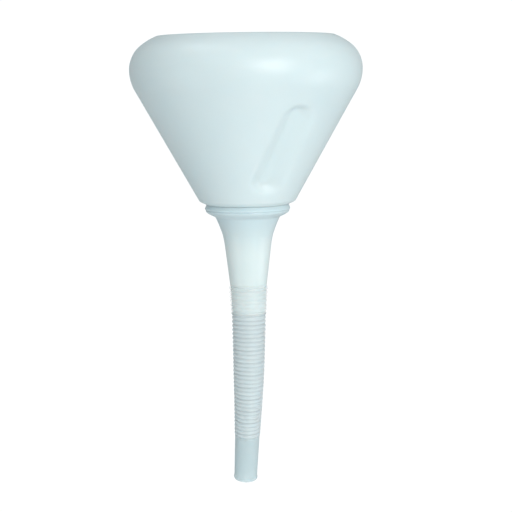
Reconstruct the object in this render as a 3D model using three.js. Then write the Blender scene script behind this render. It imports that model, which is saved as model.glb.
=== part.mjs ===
// A hand-held filling funnel: a blow-moulded bowl with a turned-in anti-splash shoulder, a tapered
// neck whose collar rests on a drum or can opening, a lift-out strainer, and a corrugated flexible
// spout pushed over the neck. Millimetres, +Z up. The origin is on the funnel's axis at the lower
// edge of the collar; +X is the side that the hand holds and -Y is the thumb's side.
import * as THREE from 'three';

// ---- bowl ----
const WALL = 1.8;
const SHOULDER = { r: 99.7, z: 127 };                // widest place
const ROUND_BELOW = 36;                              // the shoulder's rounding below its widest place
const ROUND_ABOVE = 26.5;                            // above it, up to the crown
const ROUND_CROWN = 55;                              // flatter rounding from there to the mouth
const CROWN_START = 52;                              // degrees that the wall has turned where it starts
const MOUTH_R = 73;                                  // opening cut in the top
const RIM_LAND = 3;                                  // width of the flat cut edge
const HEEL = { r: 42.3, z: 15.7 };                   // where the cone ends, above the collar
const FLANGE = { r: 35.6, z: 11.2 };                 // underside of the bowl, above the collar
const HEEL_CURVE = [[36.8, 12.2], [40.2, 13.8]];     // rounding between the underside and the cone
const LEDGE = { r: 37.4, z: 14.2 };                  // floor inside the bowl, under the strainer
const STUB = { r: 31.2, bore: 29.4, z: 4.4 };        // stub that goes down into the neck
const CONE_ROWS = 10;
const ARC_ROWS = 4;
const BOWL_SIDES = 60;

// ---- grip recesses in the cone wall: one for the thumb and its mirror image for the fingers ----
const RECESS_DEPTH = 6.5;
const RECESS_STEEP_WIDTH = 16;                       // from its deepest line to the edge towards -X
const RECESS_GENTLE_WIDTH = 21.5;                    // and to the edge towards +X
const RECESS_FLOOR_HALF_WIDTH = 2;
const RECESS_LOW = { r: 53, turn: 18.5 };            // low end of the deepest line, degrees from -Y
const RECESS_HIGH = { r: 81, turn: 30 };             // its high end

// ---- neck with its collar ----
const SOCKET_GAP = 0.4;                              // clearance round the bowl's stub
const COLLAR_TOP_Z = FLANGE.z - SOCKET_GAP;
const SOCKET_FLOOR_Z = STUB.z - SOCKET_GAP;
const COLLAR_TOP_R = 35.1;
// The collar's slanting underside, its lower bead, the crease over that, and its upper bead.
const COLLAR_OUTLINE = [
  [29, 1], [33.9, 3.5], [35.5, 4.8], [36.1, 5.7], [36.2, 6.3], [36.8, 7.2], [36.8, 8], [36.2, 9.4],
];
const NECK_TOP_R = 27.8;
const NECK_KNEE = { r: 21.4, z: -17 };               // the flare ends and the long taper starts
const KNEE_REACH = 4.5;                              // height of the rounding on each side of it
const KNEE_RISE = { above: 1.7, below: 0.6 };        // and how much the radius changes there
const NECK_SHOULDER = { r: 15.9, z: -59.2 };         // the spout is pushed up against this
const NECK_SLEEVED = { r: 15.4, z: -59.8 };          // top of the stretch inside the spout
const NECK_END = { r: 14.0, z: -84.6 };
const NECK_SIDES = 36;

// ---- strainer ----
const STRAINER = { r: 38.4, foot: 36.8, window: 31, seat: 34.4, height: 5, chamfer: 2, floor: 1.3 };
const GAUZE = { r: 34, thick: 0.5 };
const REST_GAP = 0.3;                                // kept between pieces that lie on each other
const STRAINER_SIDES = 32;

// ---- flexible spout ----
const PITCH = 3.68;                                  // from one corrugation to the next
const CUFF_RIDGES = 7;
const CUFF_TOP = { r: 17.1, z: -60.2 };
const CUFF_LOW = { r: 15.9, z: -81.5 };              // last ridge that the neck stretches
const CUFF_RIDGE_DEPTH = 0.7;
const SECTIONS = 10;
const SECTION_RIDGES = 3;
const RIDGE_DEPTH = 0.9;
const SPOUT_WALL = 0.9;
const JOINT_GAP = 2;                                 // free length that lets two sections bend
const RIDGE_R = { top: 14.9, middle: 13.75, end: 11.35 };
const MIDDLE_AT = 50;                                // distance below the cuff of the middle radius
const TIP = { length: 43, top: 10.9, end: 10.2, lip: 10.6, lipHeight: 1.8, bore: 9.1 };
const LIP_ROUND = 0.35;                              // share of the lip's height that rounds each way
const SPOUT_SIDES = 20;
const CUFF_SIDES = 28;
const REST_BEND = 1.2;                               // degrees at each of the spout's joints
const BEND_PLANE = 12;                               // degrees from +Y towards -X

const SECTION_LENGTH = SECTION_RIDGES * PITCH;
const CUFF_END_Z = CUFF_TOP.z - CUFF_RIDGES * PITCH;

const radians = THREE.MathUtils.degToRad;
const lerp = THREE.MathUtils.lerp;
const point = (r, z) => new THREE.Vector2(r, z);

const CLEAR_PLASTIC = { color: 0xc6d6da, roughness: 0.35, metalness: 0 };
const WHITE_PLASTIC = { color: 0xdfeaec, roughness: 0.4, metalness: 0 };
const NECK_PLASTIC = { color: 0xe4f1f0, roughness: 0.38, metalness: 0 };
const GREY_PLASTIC = { color: 0xb9c3c8, roughness: 0.5, metalness: 0 };
const BRASS_WIRE = { color: 0xb59a5a, roughness: 0.4, metalness: 0.9 };

// A ring turned about the Z axis from a closed outline of radius and height.
function turned(outline, sides) {
  const geometry = new THREE.LatheGeometry([...outline, outline[0].clone()], sides);
  geometry.rotateX(Math.PI / 2);
  return geometry;
}

function piece(name, geometry, finish) {
  const mesh = new THREE.Mesh(geometry, new THREE.MeshStandardMaterial(finish));
  mesh.name = name;
  return mesh;
}

// ---- bowl ----
const lowCentre = point(SHOULDER.r - ROUND_BELOW, SHOULDER.z);
const heelPoint = point(HEEL.r, HEEL.z);
const heelToCentre = lowCentre.clone().sub(heelPoint);
// Angle between the cone's wall and the axis: the wall is a tangent to the shoulder's rounding.
const coneAngle = Math.atan2(heelToCentre.x, heelToCentre.y)
  + Math.asin(ROUND_BELOW / heelToCentre.length());
const wallNormal = point(Math.cos(coneAngle), -Math.sin(coneAngle));
const alongWall = point(Math.sin(coneAngle), Math.cos(coneAngle));

// The cone and the shoulder, set in by a depth from the outer surface, ending at a given radius.
function wallLine(depth, endRadius) {
  const start = heelPoint.clone().addScaledVector(wallNormal, -depth);
  const tangent = lowCentre.clone().addScaledVector(wallNormal, ROUND_BELOW - depth);
  const line = [];
  for (let row = 0; row < CONE_ROWS; row += 1) {
    line.push(start.clone().lerp(tangent, row / CONE_ROWS));
  }
  const highCentre = point(SHOULDER.r - ROUND_ABOVE, SHOULDER.z);
  const crownStart = radians(CROWN_START);
  const crownCentre = highCentre.clone().addScaledVector(
    point(Math.cos(crownStart), Math.sin(crownStart)), ROUND_ABOVE - ROUND_CROWN);
  const crownEnd = Math.acos((endRadius - crownCentre.x) / (ROUND_CROWN - depth));
  const arc = (centre, round, from, to) => new THREE.Path()
    .absarc(centre.x, centre.y, round - depth, from, to, false)
    .getPoints(ARC_ROWS / 2);
  return [
    ...line,
    ...arc(lowCentre, ROUND_BELOW, -coneAngle, 0).slice(0, -1),
    ...arc(highCentre, ROUND_ABOVE, 0, crownStart).slice(0, -1),
    ...arc(crownCentre, ROUND_CROWN, crownStart, crownEnd),
  ];
}

// How deep the grip recesses press the wall in, at a distance along the wall from the cone's apex
// and a turn about the axis. The cone is unrolled flat, where a recess is a slot with round ends.
function recessDepth(slant, turn) {
  const unrolled = (distance, angle) => point(
    distance * Math.sin(angle * Math.sin(coneAngle)),
    distance * Math.cos(angle * Math.sin(coneAngle)));
  const here = unrolled(slant, turn);
  const low = unrolled(RECESS_LOW.r / Math.sin(coneAngle), radians(RECESS_LOW.turn));
  const high = unrolled(RECESS_HIGH.r / Math.sin(coneAngle), radians(RECESS_HIGH.turn));
  const axis = high.clone().sub(low);
  const share = THREE.MathUtils.clamp(here.clone().sub(low).dot(axis) / axis.lengthSq(), 0, 1);
  const away = here.sub(low.addScaledVector(axis, share));
  const distance = away.length();
  const towardsX = away.cross(axis.normalize()) / Math.max(distance, RECESS_FLOOR_HALF_WIDTH);
  const edge = lerp(RECESS_STEEP_WIDTH, RECESS_GENTLE_WIDTH, (1 + towardsX) / 2);
  const side = THREE.MathUtils.smoothstep(distance, RECESS_FLOOR_HALF_WIDTH, edge);
  return RECESS_DEPTH * (1 - side);
}

function bowl() {
  const outline = [
    point(STUB.bore, STUB.z),
    point(STUB.r, STUB.z),
    point(STUB.r, FLANGE.z),
    point(FLANGE.r, FLANGE.z),
    ...HEEL_CURVE.map(([r, z]) => point(r, z)),
    ...wallLine(0, MOUTH_R + RIM_LAND),
  ];
  const rimZ = outline[outline.length - 1].y;
  outline.push(point(MOUTH_R, rimZ));
  outline.push(...wallLine(WALL, MOUTH_R).reverse());
  outline.push(point(LEDGE.r, LEDGE.z), point(STUB.bore, LEDGE.z));
  const geometry = turned(outline, BOWL_SIDES);
  const apexZ = HEEL.z - HEEL.r / Math.tan(coneAngle);
  const places = geometry.attributes.position;
  for (let i = 0; i < places.count; i += 1) {
    const x = places.getX(i);
    const y = places.getY(i);
    const z = places.getZ(i);
    const r = Math.hypot(x, y);
    const slant = r * alongWall.x + (z - apexZ) * alongWall.y;
    const depth = recessDepth(slant, Math.atan2(x, Math.abs(y)));
    const inward = 1 - depth * wallNormal.x / r;
    places.setXYZ(i, x * inward, y * inward, z - depth * wallNormal.y);
  }
  return piece('bowl', geometry, WHITE_PLASTIC);
}

// ---- neck ----
function neck() {
  const outside = new THREE.Path()
    .moveTo(NECK_END.r, NECK_END.z)
    .lineTo(NECK_SLEEVED.r, NECK_SLEEVED.z)
    .lineTo(NECK_SHOULDER.r, NECK_SHOULDER.z)
    .lineTo(NECK_KNEE.r - KNEE_RISE.below, NECK_KNEE.z - KNEE_REACH)
    .quadraticCurveTo(
      NECK_KNEE.r, NECK_KNEE.z, NECK_KNEE.r + KNEE_RISE.above, NECK_KNEE.z + KNEE_REACH)
    .lineTo(NECK_TOP_R, 0);
  const outline = [
    ...outside.getPoints(3),
    ...COLLAR_OUTLINE.map(([r, z]) => point(r, z)),
    point(COLLAR_TOP_R, COLLAR_TOP_Z),
    point(STUB.r + SOCKET_GAP, COLLAR_TOP_Z),
    point(STUB.r + SOCKET_GAP, SOCKET_FLOOR_Z),
    point(STUB.bore, SOCKET_FLOOR_Z),
    point(NECK_TOP_R - WALL, 0),
    point(NECK_KNEE.r - WALL, NECK_KNEE.z),
    point(NECK_SHOULDER.r - WALL, NECK_SHOULDER.z),
    point(NECK_END.r - WALL, NECK_END.z),
  ];
  return piece('neck', turned(outline, NECK_SIDES), NECK_PLASTIC);
}

// ---- strainer ----
const strainerFootZ = LEDGE.z + REST_GAP;
const gauzeSeatZ = strainerFootZ + STRAINER.floor;

function strainerFrame() {
  const outline = [
    point(STRAINER.window, strainerFootZ),
    point(STRAINER.foot, strainerFootZ),
    point(STRAINER.r, strainerFootZ + STRAINER.chamfer),
    point(STRAINER.r, strainerFootZ + STRAINER.height),
    point(STRAINER.seat, strainerFootZ + STRAINER.height),
    point(STRAINER.seat, gauzeSeatZ),
    point(STRAINER.window, gauzeSeatZ),
  ];
  return piece('strainer_frame', turned(outline, STRAINER_SIDES), GREY_PLASTIC);
}

function strainerGauze() {
  const geometry = new THREE.CylinderGeometry(GAUZE.r, GAUZE.r, GAUZE.thick, STRAINER_SIDES);
  geometry.rotateX(Math.PI / 2);
  const mesh = piece('strainer_gauze', geometry, BRASS_WIRE);
  mesh.position.z = gauzeSeatZ + REST_GAP + GAUZE.thick / 2;
  return mesh;
}

// ---- flexible spout ----
// Corrugations going down from a height: each is a ridge between two valleys.
function corrugations(topZ, ridges, ridgeRadius, ridgeDepth) {
  const line = [];
  for (let ridge = 0; ridge < ridges; ridge += 1) {
    const ridgeZ = topZ - (ridge + 0.5) * PITCH;
    line.push(point(ridgeRadius(ridgeZ), ridgeZ));
    if (ridge < ridges - 1) {
      const valleyZ = ridgeZ - PITCH / 2;
      line.push(point(ridgeRadius(valleyZ) - ridgeDepth, valleyZ));
    }
  }
  return line;
}

// A length of corrugated wall with a plain bore and a narrow flat at both ends. The fold gives the
// number of ridges, their depth and their radius by height, and the bore gives its radius by height.
function corrugatedOutline(topZ, bottomZ, fold, boreRadius) {
  const ridgeTopZ = (topZ + bottomZ + fold.ridges * PITCH) / 2;
  return [
    point(boreRadius(bottomZ), bottomZ),
    point(fold.radius(bottomZ) - fold.depth, bottomZ),
    ...corrugations(ridgeTopZ, fold.ridges, fold.radius, fold.depth).reverse(),
    point(fold.radius(topZ) - fold.depth, topZ),
    point(boreRadius(topZ), topZ),
  ];
}

function cuff() {
  const bottomZ = CUFF_END_Z + JOINT_GAP / 2;
  const boreAt = (z) => REST_GAP + THREE.MathUtils.mapLinear(
    z, NECK_SLEEVED.z, NECK_END.z, NECK_SLEEVED.r, NECK_END.r);
  const ridgeRadius = (z) => (z > CUFF_LOW.z
    ? THREE.MathUtils.mapLinear(z, CUFF_TOP.z, CUFF_LOW.z, CUFF_TOP.r, CUFF_LOW.r)
    : THREE.MathUtils.mapLinear(z, CUFF_LOW.z, CUFF_END_Z, CUFF_LOW.r, RIDGE_R.top));
  const fold = { ridges: CUFF_RIDGES, depth: CUFF_RIDGE_DEPTH, radius: ridgeRadius };
  const outline = corrugatedOutline(CUFF_TOP.z, bottomZ, fold, boreAt);
  return piece('spout_cuff', turned(outline, CUFF_SIDES), CLEAR_PLASTIC);
}

// Ridge radius at a distance along the spout below its cuff.
function ridgeRadiusAt(distance) {
  if (distance < MIDDLE_AT) {
    return lerp(RIDGE_R.top, RIDGE_R.middle, distance / MIDDLE_AT);
  }
  const rest = (distance - MIDDLE_AT) / (SECTIONS * SECTION_LENGTH - MIDDLE_AT);
  return lerp(RIDGE_R.middle, RIDGE_R.end, rest);
}

function section(index) {
  const ridgeRadius = (z) => ridgeRadiusAt(index * SECTION_LENGTH - z);
  const topZ = -JOINT_GAP / 2;
  const bottomZ = JOINT_GAP / 2 - SECTION_LENGTH;
  const boreAt = (z) => ridgeRadius(z) - RIDGE_DEPTH - SPOUT_WALL;
  const fold = { ridges: SECTION_RIDGES, depth: RIDGE_DEPTH, radius: ridgeRadius };
  const outline = corrugatedOutline(topZ, bottomZ, fold, boreAt);
  const name = `spout_section_${String(index + 1).padStart(2, '0')}`;
  return piece(name, turned(outline, SPOUT_SIDES), CLEAR_PLASTIC);
}

function tip() {
  const lipZ = TIP.lipHeight - TIP.length;
  const outline = [
    point(TIP.bore, -TIP.length),
    point(TIP.end, -TIP.length),
    point(TIP.lip, lerp(-TIP.length, lipZ, LIP_ROUND)),
    point(TIP.lip, lerp(-TIP.length, lipZ, 1 - LIP_ROUND)),
    point(TIP.end, lipZ),
    point(TIP.top, -JOINT_GAP / 2),
    point(TIP.bore, -JOINT_GAP / 2),
  ];
  return piece('spout_tip', turned(outline, SPOUT_SIDES), CLEAR_PLASTIC);
}

// The spout below its cuff: every joint turns what follows it by the same small rest bend.
function bentSpout() {
  const bendAxis = new THREE.Vector3(Math.cos(radians(BEND_PLANE)), Math.sin(radians(BEND_PLANE)), 0);
  const spout = new THREE.Group();
  spout.position.z = CUFF_END_Z;
  let above = spout;
  for (let index = 0; index <= SECTIONS; index += 1) {
    const joint = new THREE.Group();
    joint.position.z = index === 0 ? 0 : -SECTION_LENGTH;
    joint.rotateOnAxis(bendAxis, radians(REST_BEND));
    joint.add(index < SECTIONS ? section(index) : tip());
    above.add(joint);
    above = joint;
  }
  return spout;
}

const funnel = new THREE.Group();
funnel.add(bowl(), neck(), strainerFrame(), strainerGauze(), cuff(), bentSpout());

export default funnel;
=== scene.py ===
import math
import bmesh
import bpy
from mathutils import Matrix, Vector


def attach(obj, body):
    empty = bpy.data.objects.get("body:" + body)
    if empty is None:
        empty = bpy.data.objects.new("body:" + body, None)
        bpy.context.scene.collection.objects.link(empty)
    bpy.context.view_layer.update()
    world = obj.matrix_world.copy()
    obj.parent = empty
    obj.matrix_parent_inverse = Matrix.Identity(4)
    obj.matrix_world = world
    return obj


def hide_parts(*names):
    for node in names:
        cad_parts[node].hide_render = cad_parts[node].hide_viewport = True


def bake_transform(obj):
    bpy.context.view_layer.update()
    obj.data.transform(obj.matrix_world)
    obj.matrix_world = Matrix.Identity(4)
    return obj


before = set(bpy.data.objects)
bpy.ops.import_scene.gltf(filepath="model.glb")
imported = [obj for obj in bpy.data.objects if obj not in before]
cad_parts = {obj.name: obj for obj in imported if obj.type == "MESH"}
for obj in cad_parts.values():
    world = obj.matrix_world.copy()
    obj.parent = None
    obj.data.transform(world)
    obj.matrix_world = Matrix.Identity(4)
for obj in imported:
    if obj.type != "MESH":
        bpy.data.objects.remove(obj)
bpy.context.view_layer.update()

# ---- bowl ----
# One blow-moulded shell of natural high-density polyethylene: a cone that turns in over a rounded
# shoulder to a trimmed mouth, so that liquid can't slop out. It is pressed onto the neck's collar.
MM = 0.001
WALL = 1.8
SHOULDER_R, SHOULDER_Z = 99.65, 127.0
BELOW_R, ABOVE_R, CROWN_R, CROWN_START = 36.0, 26.5, 55.0, 52.0
MOUTH_R, RIM_LAND = 73.0, 3.0
HEEL_R, HEEL_Z = 42.3, 15.7
LOW_R, LOW_Z = SHOULDER_R - BELOW_R, SHOULDER_Z
HEEL_OUT, HEEL_UP = LOW_R - HEEL_R, LOW_Z - HEEL_Z
CONE_SLOPE = math.atan2(HEEL_OUT, HEEL_UP) + math.asin(BELOW_R / math.hypot(HEEL_OUT, HEEL_UP))
# the stub that goes down into the neck, then the rounded heel up to the cone
STUB_AND_HEEL = [(29.4, 4.4), (31.2, 4.4), (31.2, 11.2), (35.4, 11.2), (36.2, 11.5), (37.0, 12.1),
                 (38.6, 12.8), (40.2, 13.5), (41.4, 14.3), (42.0, 15.1)]
CUT_EDGE = [(MOUTH_R + 0.6, 155.62), (MOUTH_R, 155.2)]
LEDGE_INSIDE = [(37.9, 14.4), (37.4, 14.2), (29.4, 14.2)]


def arc(centre, radius, start, stop, steps):
    """Points on part of a circle; the angles are in radians, from straight outwards towards up."""
    turns = [start + (stop - start) * i / steps for i in range(steps + 1)]
    return [(centre[0] + radius * math.cos(t), centre[1] + radius * math.sin(t)) for t in turns]


def straight(start, stop, steps):
    """Evenly spaced points from start up to, but not including, stop."""
    return [(start[0] + (stop[0] - start[0]) * i / steps, start[1] + (stop[1] - start[1]) * i / steps)
            for i in range(steps)]


def bowl_wall(depth, end_r):
    """The cone, the shoulder and the crown, set in from the outside by a depth, up to the mouth."""
    out, down = math.cos(CONE_SLOPE), -math.sin(CONE_SLOPE)
    foot = (HEEL_R - depth * out, HEEL_Z - depth * down)
    tangent = (LOW_R + (BELOW_R - depth) * out, LOW_Z + (BELOW_R - depth) * down)
    high = (SHOULDER_R - ABOVE_R, SHOULDER_Z)
    turn = math.radians(CROWN_START)
    crown = (high[0] + (ABOVE_R - CROWN_R) * math.cos(turn), high[1] + (ABOVE_R - CROWN_R) * math.sin(turn))
    stop = math.acos((end_r - crown[0]) / (CROWN_R - depth))
    return (straight(foot, tangent, 60) + arc((LOW_R, LOW_Z), BELOW_R - depth, -CONE_SLOPE, 0, 20)[:-1]
            + arc(high, ABOVE_R - depth, 0, turn, 14)[:-1] + arc(crown, CROWN_R - depth, turn, stop, 8))


def turned(outline, steps):
    """A closed outline of radius and height in millimetres, spun about the axis."""
    bm = bmesh.new()
    ring = [bm.verts.new((r * MM, 0, z * MM)) for r, z in outline]
    edges = [bm.edges.new(pair) for pair in zip(ring, ring[1:] + ring[:1])]
    bmesh.ops.spin(bm, geom=ring + edges, cent=(0, 0, 0), axis=(0, 0, 1), angle=math.tau,
                   steps=steps, use_merge=True)
    bmesh.ops.remove_doubles(bm, verts=bm.verts, dist=1e-7)
    bmesh.ops.recalc_face_normals(bm, faces=bm.faces)
    return bm


def finished(bm, name, material, sharp=50):
    """The piece that a bmesh describes, smooth except where faces meet at more than the sharp angle."""
    mesh = bpy.data.meshes.new(name)
    bm.to_mesh(mesh)
    bm.free()
    mesh.shade_smooth()
    mesh.set_sharp_from_angle(angle=math.radians(sharp))
    mesh.materials.append(material)
    piece = bpy.data.objects.new(name, mesh)
    bpy.context.scene.collection.objects.link(piece)
    return piece


# The grip recesses: a slanting dent for the thumb in front and its mirror image for the fingers.
DENT_DEPTH, DENT_STEEP, DENT_GENTLE, DENT_FLOOR_HALF = 6.5, 16.0, 21.5, 2.0
DENT_END_FLOOR, DENT_END_EDGE = 7.0, 15.0
DENT_LOW, DENT_HIGH = (53.0, math.radians(18.5)), (81.0, math.radians(30))


def unrolled(r, turn):
    """A place on the cone when its wall is laid out flat."""
    spread = turn * math.sin(CONE_SLOPE)
    return Vector((math.sin(spread), math.cos(spread))) * (r / math.sin(CONE_SLOPE))


def press_dents(bm):
    """Pushes the wall of the cone inwards at both grip recesses."""
    low, high = unrolled(*DENT_LOW), unrolled(*DENT_HIGH)
    along = high - low
    apex = HEEL_Z - HEEL_R / math.tan(CONE_SLOPE)
    for v in bm.verts:
        x, y, z = v.co / MM
        r = math.hypot(x, y)
        slant = r * math.sin(CONE_SLOPE) + (z - apex) * math.cos(CONE_SLOPE)
        here = unrolled(slant * math.sin(CONE_SLOPE), math.atan2(x, abs(y)))
        share = min(max((here - low).dot(along) / along.length_squared, 0), 1)
        off = here - low - along * share
        away = max(off.length, 1e-6)
        gentle = 0.5 + 0.5 * (off.x * along.y - off.y * along.x) / along.length / away
        edge = DENT_STEEP + (DENT_GENTLE - DENT_STEEP) * gentle
        ending = (off.dot(along) / along.length / away) ** 2
        floor_half = DENT_FLOOR_HALF + (DENT_END_FLOOR - DENT_FLOOR_HALF) * ending
        edge += (DENT_END_EDGE - edge) * ending
        t = min(max((away - floor_half) / (edge - floor_half), 0), 1)
        depth = DENT_DEPTH * (1 - t * t * (3 - 2 * t))
        inward = 1 - depth * math.cos(CONE_SLOPE) / r
        v.co = Vector((x * inward, y * inward, z + depth * math.sin(CONE_SLOPE))) * MM


def remap(tree, value, start, stop, low=0.0, high=1.0):
    """Turns a value that runs from start to stop into one that runs from low to high."""
    node = tree.nodes.new("ShaderNodeMapRange")
    for socket, number in zip(("From Min", "From Max", "To Min", "To Max"), (start, stop, low, high)):
        node.inputs[socket].default_value = number
    tree.links.new(value, node.inputs["Value"])
    return node


def moulded_plastic(name, colour, mottle, roughness, depth_mm, grain=0.00002, seam=True):
    """Natural polyethylene: light sinks a little way in, and the mould leaves a fine satin grain."""
    material = bpy.data.materials.new(name)
    material.use_nodes = True
    nodes, links = material.node_tree.nodes, material.node_tree.links
    shader = nodes["Principled BSDF"]
    shader.inputs["IOR"].default_value = 1.53
    shader.inputs["Subsurface Weight"].default_value = 0.5
    shader.inputs["Subsurface Radius"].default_value = (0.8, 1.0, 1.1)
    shader.inputs["Subsurface Scale"].default_value = depth_mm * MM
    place = nodes.new("ShaderNodeTexCoord")
    # broad cloudiness where the wall is thicker or thinner
    cloud = nodes.new("ShaderNodeTexNoise")
    cloud.inputs["Scale"].default_value = 14
    cloud.inputs["Detail"].default_value = 3
    links.new(place.outputs["Object"], cloud.inputs["Vector"])
    ramp = nodes.new("ShaderNodeValToRGB")
    ramp.color_ramp.elements[0].position, ramp.color_ramp.elements[1].position = 0.3, 0.7
    ramp.color_ramp.elements[0].color = (*mottle, 1)
    ramp.color_ramp.elements[1].color = (*colour, 1)
    links.new(cloud.outputs["Fac"], ramp.inputs["Fac"])
    links.new(ramp.outputs["Color"], shader.inputs["Base Color"])
    # satin grain of the mould, and rubbed patches that shine a little more
    rub = remap(material.node_tree, cloud.outputs["Fac"], 0, 1, roughness - 0.05, roughness + 0.07)
    links.new(rub.outputs["Result"], shader.inputs["Roughness"])
    fine = nodes.new("ShaderNodeTexNoise")
    fine.inputs["Scale"].default_value = 700
    fine.inputs["Detail"].default_value = 2
    links.new(place.outputs["Object"], fine.inputs["Vector"])
    bump = nodes.new("ShaderNodeBump")
    bump.inputs["Strength"].default_value = 0.6
    bump.inputs["Distance"].default_value = grain
    links.new(fine.outputs["Fac"], bump.inputs["Height"])
    last = bump
    if seam:
        # the line where the two mould halves met, on the sides that the halves share
        split = nodes.new("ShaderNodeSeparateXYZ")
        links.new(place.outputs["Object"], split.inputs["Vector"])
        off = nodes.new("ShaderNodeMath")
        off.operation = "ABSOLUTE"
        links.new(split.outputs["Y"], off.inputs[0])
        line = remap(material.node_tree, off.outputs["Value"], 0.00015, 0.0005, 1, 0)
        line.interpolation_type = "SMOOTHSTEP"
        ridge = nodes.new("ShaderNodeBump")
        ridge.inputs["Strength"].default_value = 1
        ridge.inputs["Distance"].default_value = 0.00012
        links.new(line.outputs["Result"], ridge.inputs["Height"])
        links.new(bump.outputs["Normal"], ridge.inputs["Normal"])
        last = ridge
    links.new(last.outputs["Normal"], shader.inputs["Normal"])
    return material


bowl_plastic = moulded_plastic("white polythene", (0.65, 0.765, 0.79), (0.625, 0.75, 0.78), 0.34, 3)
outline = STUB_AND_HEEL + bowl_wall(0, MOUTH_R + RIM_LAND) + CUT_EDGE
outline += bowl_wall(WALL, MOUTH_R)[::-1][1:] + LEDGE_INSIDE
bm = turned(outline, 240)
press_dents(bm)
bowl = finished(bm, "bowl_shell", bowl_plastic)
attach(bowl, "funnel_body")
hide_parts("bowl")

# ---- neck ----
# A second blow-moulding: the double-beaded collar that the bowl is pressed into and that stands on
# the mouth of a drum or can, a short flare, and a long taper. Its low end is inside the flexible spout.
COLLAR = [(29, 1), (31.4, 2.1), (33.9, 3.5), (35.4, 4.6), (36.1, 5.6), (36.1, 6.2), (35.85, 6.55),
          (36.5, 7.0), (36.85, 7.6), (36.85, 8.2), (36.4, 9.2), (36.1, 9.9), (35.8, 10.6), (35.5, 11.1)]
SOCKET = [(31.6, 11.1), (31.6, 4.0), (29.4, 4.0)]
TAPER = [(21.4, -17.0), (20.1, -24.6), (18.7, -36.1), (17.3, -47.7), (15.9, -59.2)]
FLARE = [(27.7, -0.2), (26.3, -3.2), (24.9, -6.6), (23.6, -10.0), (22.4, -13.4)]
NECK_END_R, NECK_END_Z = 14.0, -84.6
SLEEVED_TOP = (15.4, -59.8)
UNDER_COLLAR = (28.3, 0.5)


def smooth_through(points, steps=4):
    """A smooth line through points (a Catmull-Rom curve)."""
    line = []
    ends = [points[0]] + list(points) + [points[-1]]
    for a, b, c, d in zip(ends, ends[1:], ends[2:], ends[3:]):
        for i in range(steps):
            t = i / steps
            line.append(tuple(0.5 * (2 * q + (s - p) * t + (2 * p - 5 * q + 4 * s - w) * t * t
                                     + (3 * q - p - 3 * s + w) * t ** 3) for p, q, s, w in zip(a, b, c, d)))
    return line + [points[-1]]


outline = [(NECK_END_R, NECK_END_Z), SLEEVED_TOP] + smooth_through(TAPER[::-1] + FLARE[::-1])
outline += [UNDER_COLLAR] + smooth_through(COLLAR) + SOCKET
outline += [(r - WALL, z) for r, z in FLARE + TAPER] + [(NECK_END_R - WALL, NECK_END_Z)]
neck_plastic = moulded_plastic("neck polythene", (0.71, 0.82, 0.825), (0.685, 0.80, 0.81), 0.31, 2.2)
# the collar's doubled wall is painted deeper than the taper under it, partly for the thicker wall and partly
# as painted shade under the bowl's overhang
nodes, links = neck_plastic.node_tree.nodes, neck_plastic.node_tree.links
height = nodes.new("ShaderNodeSeparateXYZ")
links.new(nodes["Texture Coordinate"].outputs["Object"], height.inputs["Vector"])
wall_and_shade_fade = remap(neck_plastic.node_tree, height.outputs["Z"], 0.002, -0.036)
wall_and_shade_fade.interpolation_type = "SMOOTHSTEP"
collar_wall_and_shade = nodes.new("ShaderNodeMix")
collar_wall_and_shade.data_type = "RGBA"
# painted shade: the darker colour of the collar, under the bowl
collar_wall_and_shade.inputs[6].default_value = (0.575, 0.71, 0.75, 1)
links.new(wall_and_shade_fade.outputs["Result"], collar_wall_and_shade.inputs["Factor"])
links.new(nodes["Color Ramp"].outputs["Color"], collar_wall_and_shade.inputs[7])
links.new(collar_wall_and_shade.outputs[2], nodes["Principled BSDF"].inputs["Base Color"])
neck = finished(turned(outline, 144), "neck_moulding", neck_plastic)
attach(neck, "funnel_body")
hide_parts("neck")

# ---- strainer frame ----
# A loose ring moulded in grey polypropylene, which lies on the ledge at the bottom of the bowl and
# lifts out to be rinsed. Its step holds the gauze.
RING_SECTION = [(31, 14.5), (36.8, 14.5), (38.4, 16.5), (38.4, 19.5), (34.4, 19.5), (34.4, 15.8), (31, 15.8)]
EDGE_ROUND = 0.3
bm = turned(RING_SECTION, 96)
corners = [e for e in bm.edges if len(e.link_faces) == 2 and e.calc_face_angle() > math.radians(30)]
bmesh.ops.bevel(bm, geom=corners, offset=EDGE_ROUND * MM, segments=3, profile=0.5,
                affect="EDGES", material=-1)
grey_plastic = moulded_plastic("grey plastic", (0.42, 0.47, 0.49), (0.39, 0.44, 0.465), 0.42, 1, seam=False)
strainer = finished(bm, "strainer_ring", grey_plastic)
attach(strainer, "strainer")
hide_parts("strainer_frame")

# ---- strainer gauze ----
# A disc of plain-woven brass wire, cut out with its edge under the frame's step.
GAUZE_R, GAUZE_Z, WIRE_PITCH, WIRE_R, WIRE_WAVE = 33.8, 16.35, 1.6, 0.12, 0.125
weave = bpy.data.curves.new("strainer_mesh", "CURVE")
weave.dimensions = "3D"
weave.bevel_depth = WIRE_R * MM
weave.bevel_resolution = 0
count = int(GAUZE_R / WIRE_PITCH)
for across in (False, True):
    for wire in range(-count, count + 1):
        offset = wire * WIRE_PITCH
        reach = int(math.sqrt(GAUZE_R ** 2 - offset ** 2) / WIRE_PITCH * 2) / 2
        stops = int(2 * reach)
        spline = weave.splines.new("POLY")
        spline.points.add(2 * stops)
        for i, p in enumerate(spline.points):
            step = (i - stops) / 2
            lift = WIRE_WAVE * math.cos(math.pi * (step + wire)) * (-1 if across else 1)
            x, y = (offset, step * WIRE_PITCH) if across else (step * WIRE_PITCH, offset)
            p.co = (x * MM, y * MM, (GAUZE_Z + lift) * MM, 1)
lattice = bpy.data.objects.new("strainer_weave", weave)
bpy.context.scene.collection.objects.link(lattice)
bpy.context.view_layer.update()
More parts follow.
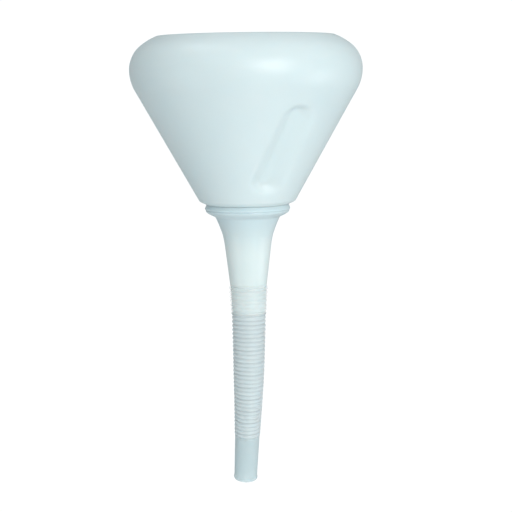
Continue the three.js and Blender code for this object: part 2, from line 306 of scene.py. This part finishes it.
woven = bpy.data.meshes.new_from_object(lattice.evaluated_get(bpy.context.evaluated_depsgraph_get()))
bpy.data.objects.remove(lattice)
brass = bpy.data.materials.new("brass wire")
brass.use_nodes = True
shader = brass.node_tree.nodes["Principled BSDF"]
shader.inputs["Metallic"].default_value = 1
tarnish = brass.node_tree.nodes.new("ShaderNodeTexNoise")
tarnish.inputs["Scale"].default_value = 90
ramp = brass.node_tree.nodes.new("ShaderNodeValToRGB")
ramp.color_ramp.elements[0].color = (0.36, 0.25, 0.10, 1)
ramp.color_ramp.elements[1].color = (0.62, 0.47, 0.22, 1)
coords = brass.node_tree.nodes.new("ShaderNodeTexCoord")
brass.node_tree.links.new(coords.outputs["Object"], tarnish.inputs["Vector"])
brass.node_tree.links.new(tarnish.outputs["Fac"], ramp.inputs["Fac"])
brass.node_tree.links.new(ramp.outputs["Color"], shader.inputs["Base Color"])
dull = remap(brass.node_tree, tarnish.outputs["Fac"], 0, 1, 0.28, 0.55)
brass.node_tree.links.new(dull.outputs["Result"], shader.inputs["Roughness"])
bm = bmesh.new()
bm.from_mesh(woven)
bpy.data.meshes.remove(woven)
bmesh.ops.holes_fill(bm, edges=bm.edges)
bmesh.ops.recalc_face_normals(bm, faces=bm.faces)
gauze = finished(bm, "gauze_weave", brass)
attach(gauze, "strainer")
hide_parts("strainer_gauze")

# ---- flexible spout ----
# One blow-moulded bellows tube of soft low-density polyethylene, thin enough to see through. Its top is
# pushed over the neck, which stretches the folds nearly flat; the rest bends, and ends in a plain tip.
PITCH, SECTION, PIVOT_Z = 3.68, 11.04, -85.96
CUFF_LENGTH, STRETCH_END = 25.76, -4.46
SPOUT_WALL = 0.9
BEND_STEP = math.radians(1.2)
BEND_RADIUS = SECTION / BEND_STEP
BEND_START = -SECTION / 2
SECTIONS, TIP_LENGTH = 10, 42.9
SPOUT_END = SECTIONS * SECTION + TIP_LENGTH
BEND_SIDE = Vector((-math.sin(math.radians(12)), math.cos(math.radians(12)), 0))


def between(x, x0, x1, y0, y1):
    return y0 + (y1 - y0) * min(max((x - x0) / (x1 - x0), 0), 1)


def fold_top(s):
    """Radius over the folds, at a distance in millimetres below the cuff's end."""
    if s < STRETCH_END:
        return between(s, -CUFF_LENGTH, STRETCH_END, 17.1, 15.9)
    if s < 0:
        return between(s, STRETCH_END, 0, 15.9, 14.9)
    return between(s, 0, 50, 14.9, 13.75) if s < 50 else between(s, 50, SECTIONS * SECTION, 13.75, 11.35)


def tube_r(s):
    """Outside radius of the tube: folds with narrow valleys, then the plain tip with its bead."""
    tip_start = SECTIONS * SECTION + 1.2
    if s < tip_start:
        depth = 0.6 if s < -2 else between(s, -2, 3, 0.6, 1.0)
        valley = (0.5 + 0.5 * math.cos(math.tau * s / PITCH)) ** 1.15
        return fold_top(s) - depth * valley
    plain = between(s, tip_start, SPOUT_END - 1.8, 10.9, 10.2)
    ease = between(s, tip_start, tip_start + 2.2, 0, 1)
    bead = max(0.0, 1 - ((s - SPOUT_END + 1.0) / 0.9) ** 2) * 0.4
    return fold_top(tip_start) * (1 - ease) - 0.85 * (1 - ease) + plain * ease + bead


def bend_line(s):
    """Centre of the spout and its downward direction, at a distance below the cuff's end."""
    turn = min(max((s - BEND_START) / SECTION * BEND_STEP, 0), 11 * BEND_STEP)
    flat = s - BEND_START - turn * BEND_RADIUS
    side = BEND_RADIUS * (1 - math.cos(turn)) + flat * math.sin(turn)
    down = BEND_RADIUS * math.sin(turn) + flat * math.cos(turn)
    if s < BEND_START:
        side, down = 0, s - BEND_START
    centre = BEND_SIDE * side + Vector((0, 0, PIVOT_Z - BEND_START - down))
    return centre * MM, Matrix.Rotation(turn, 3, BEND_SIDE.cross((0, 0, 1)))


def spout_length(name, top, end):
    """The tube between two distances, bent along the spout's own curve."""
    rows = max(int(round((end - top) / PITCH * 14)), 8)
    stops = [top + (end - top) * i / rows for i in range(rows + 1)]
    outline = [(tube_r(s), PIVOT_Z - s) for s in stops]
    outline += [(tube_r(s) - SPOUT_WALL, PIVOT_Z - s) for s in stops[::-1]]
    bm = turned(outline, 96)
    for v in bm.verts:
        centre, tilt = bend_line(PIVOT_Z - v.co.z / MM)
        v.co = centre + tilt @ Vector((v.co.x, v.co.y, 0))
    return finished(bm, name, spout_plastic)


spout_plastic = moulded_plastic("spout polythene", (0.665, 0.825, 0.885), (0.64, 0.805, 0.87), 0.28, 3,
                                seam=False)
nodes, links = spout_plastic.node_tree.nodes, spout_plastic.node_tree.links
place = nodes.new("ShaderNodeTexCoord")
split = nodes.new("ShaderNodeSeparateXYZ")
links.new(place.outputs["Object"], split.inputs["Vector"])
# where the tube is pulled tight on the neck the wall is nearly clear; the same mask paints it near white
# there, painted light standing in for the lit neck seen through it
clearness_and_painted_light = remap(spout_plastic.node_tree, split.outputs["Z"], -0.0838, -0.0852, 0.18, 0.8)
links.new(clearness_and_painted_light.outputs["Result"], nodes["Principled BSDF"].inputs["Alpha"])
sleeve_painted_light = nodes.new("ShaderNodeMix")
sleeve_painted_light.data_type = "RGBA"
# painted light: near white, for the lit neck showing through the sleeve
sleeve_painted_light.inputs[6].default_value = (0.93, 0.97, 0.96, 1)
links.new(clearness_and_painted_light.outputs["Result"], sleeve_painted_light.inputs["Factor"])
links.new(nodes["Color Ramp"].outputs["Color"], sleeve_painted_light.inputs[7])
# the plain tip has no folds and is painted a deeper colour than the folds above it, as painted shade
tip_shade_mask = remap(spout_plastic.node_tree, split.outputs["Z"], -0.1955, -0.1985)
tip_painted_shade = nodes.new("ShaderNodeMix")
tip_painted_shade.data_type = "RGBA"
links.new(tip_shade_mask.outputs["Result"], tip_painted_shade.inputs["Factor"])
links.new(sleeve_painted_light.outputs[2], tip_painted_shade.inputs[6])
# painted shade on the plain tip
tip_painted_shade.inputs[7].default_value = (0.62, 0.78, 0.83, 1)
links.new(tip_painted_shade.outputs[2], nodes["Principled BSDF"].inputs["Base Color"])
seams = [-CUFF_LENGTH] + [SECTION * k + 2 * PITCH for k in range(SECTIONS)] + [SPOUT_END]
bodies = ["cuff"] + [f"section_{k:02d}" for k in range(1, SECTIONS + 1)] + ["tip"]
stands_for = ["spout_cuff"] + [f"spout_{body}" for body in bodies[1:-1]]
for k in range(SECTIONS + 1):
    fold = spout_length(f"spout_folds_{k:02d}", seams[k], seams[k + 1])
    # the first bend begins just below the neck's end, so the folds stretched over the neck stay clear of it
    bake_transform(fold)
    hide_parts(stands_for[k])
    if k == SECTIONS:
        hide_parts("spout_tip")

# ---- floor and light ----
# A plain white sweep well below the funnel, in even studio light with a large soft source in front
# on the right, lower ones on both sides and one above on the left.
floor_paint = bpy.data.materials.new("studio white")
floor_paint.use_nodes = True
shader = floor_paint.node_tree.nodes["Principled BSDF"]
shader.inputs["Base Color"].default_value = (0.92, 0.92, 0.92, 1)
shader.inputs["Roughness"].default_value = 0.9
shader.inputs["Emission Color"].default_value = (1, 1, 1, 1)
shader.inputs["Emission Strength"].default_value = 0.6
bm = bmesh.new()
bmesh.ops.create_circle(bm, cap_ends=True, segments=64, radius=1.7)
bmesh.ops.translate(bm, verts=bm.verts, vec=(0, 0, -2.5))
floor_mesh = bpy.data.meshes.new("studio_floor")
bm.to_mesh(floor_mesh)
bm.free()
floor_mesh.materials.append(floor_paint)
floor = bpy.data.objects.new("studio_floor", floor_mesh)
bpy.context.scene.collection.objects.link(floor)

sky = bpy.data.worlds.new("studio")
bpy.context.scene.world = sky
sky.use_nodes = True
nodes, links = sky.node_tree.nodes, sky.node_tree.links
glow = nodes["Background"]
seen = nodes.new("ShaderNodeLightPath")
level = remap(sky.node_tree, seen.outputs["Is Camera Ray"], 0, 1, 0, 1.06)
links.new(level.outputs["Result"], glow.inputs["Strength"])
# the room in front is brighter than the one behind, and the ceiling is the brightest
room = nodes.new("ShaderNodeTexCoord")
facing = nodes.new("ShaderNodeSeparateXYZ")
links.new(room.outputs["Generated"], facing.inputs["Vector"])
depth = remap(sky.node_tree, facing.outputs["Y"], -1, 1, 0.63, 0.36)
ceiling = remap(sky.node_tree, facing.outputs["Z"], 0.5, 1, 1, 1.6)
lit = nodes.new("ShaderNodeMath")
lit.operation = "MULTIPLY"
links.new(depth.outputs["Result"], lit.inputs[0])
links.new(ceiling.outputs["Result"], lit.inputs[1])
links.new(lit.outputs["Value"], level.inputs["To Min"])
glow.inputs["Color"].default_value = (0.975, 0.995, 1, 1)


def soft_light(name, turn, rise, distance, width, height, power, colour=(1, 1, 1)):
    """A soft box facing the bowl. Turn is in degrees from the front towards the right."""
    lamp = bpy.data.lights.new(name, "AREA")
    lamp.shape = "RECTANGLE"
    lamp.size, lamp.size_y = width, height
    lamp.energy, lamp.color = power, colour
    source = bpy.data.objects.new(name, lamp)
    turn, rise = math.radians(turn), math.radians(rise)
    way = Vector((math.sin(turn) * math.cos(rise), -math.cos(turn) * math.cos(rise), math.sin(rise)))
    source.location = Vector((0, 0, 0.1)) + way * distance
    source.rotation_euler = way.to_track_quat("Z", "Y").to_euler()
    source.visible_camera = False
    bpy.context.scene.collection.objects.link(source)


soft_light("key", 24, 10, 2.0, 1.1, 1.2, 22, (1, 0.98, 0.96))
soft_light("right", 77, -17, 1.4, 0.55, 0.4, 1.9)
soft_light("left", -62, -22, 1.7, 0.9, 0.9, 2.0)
soft_light("top_left", -90, 62, 1.8, 0.6, 0.5, 2.6)

# ---- camera ----
# Level with the bowl and close in front, tilted a little down, as the funnel is held up to be seen.
camera = bpy.data.objects.new("camera", bpy.data.cameras.new("camera"))
camera.data.sensor_width = 36
camera.data.lens = 99.2
camera.data.shift_x = 0.0153
camera.data.clip_start, camera.data.clip_end = 0.05, 60
camera.location = (0, -1.217, 0.1135)
tilt, roll = Matrix.Rotation(math.radians(90 - 6.91), 3, "X"), Matrix.Rotation(math.radians(-0.7), 3, "Z")
camera.rotation_euler = (tilt @ roll).to_euler()
bpy.context.scene.collection.objects.link(camera)
bpy.context.scene.camera = camera
bpy.context.scene.view_settings.view_transform = "Standard"
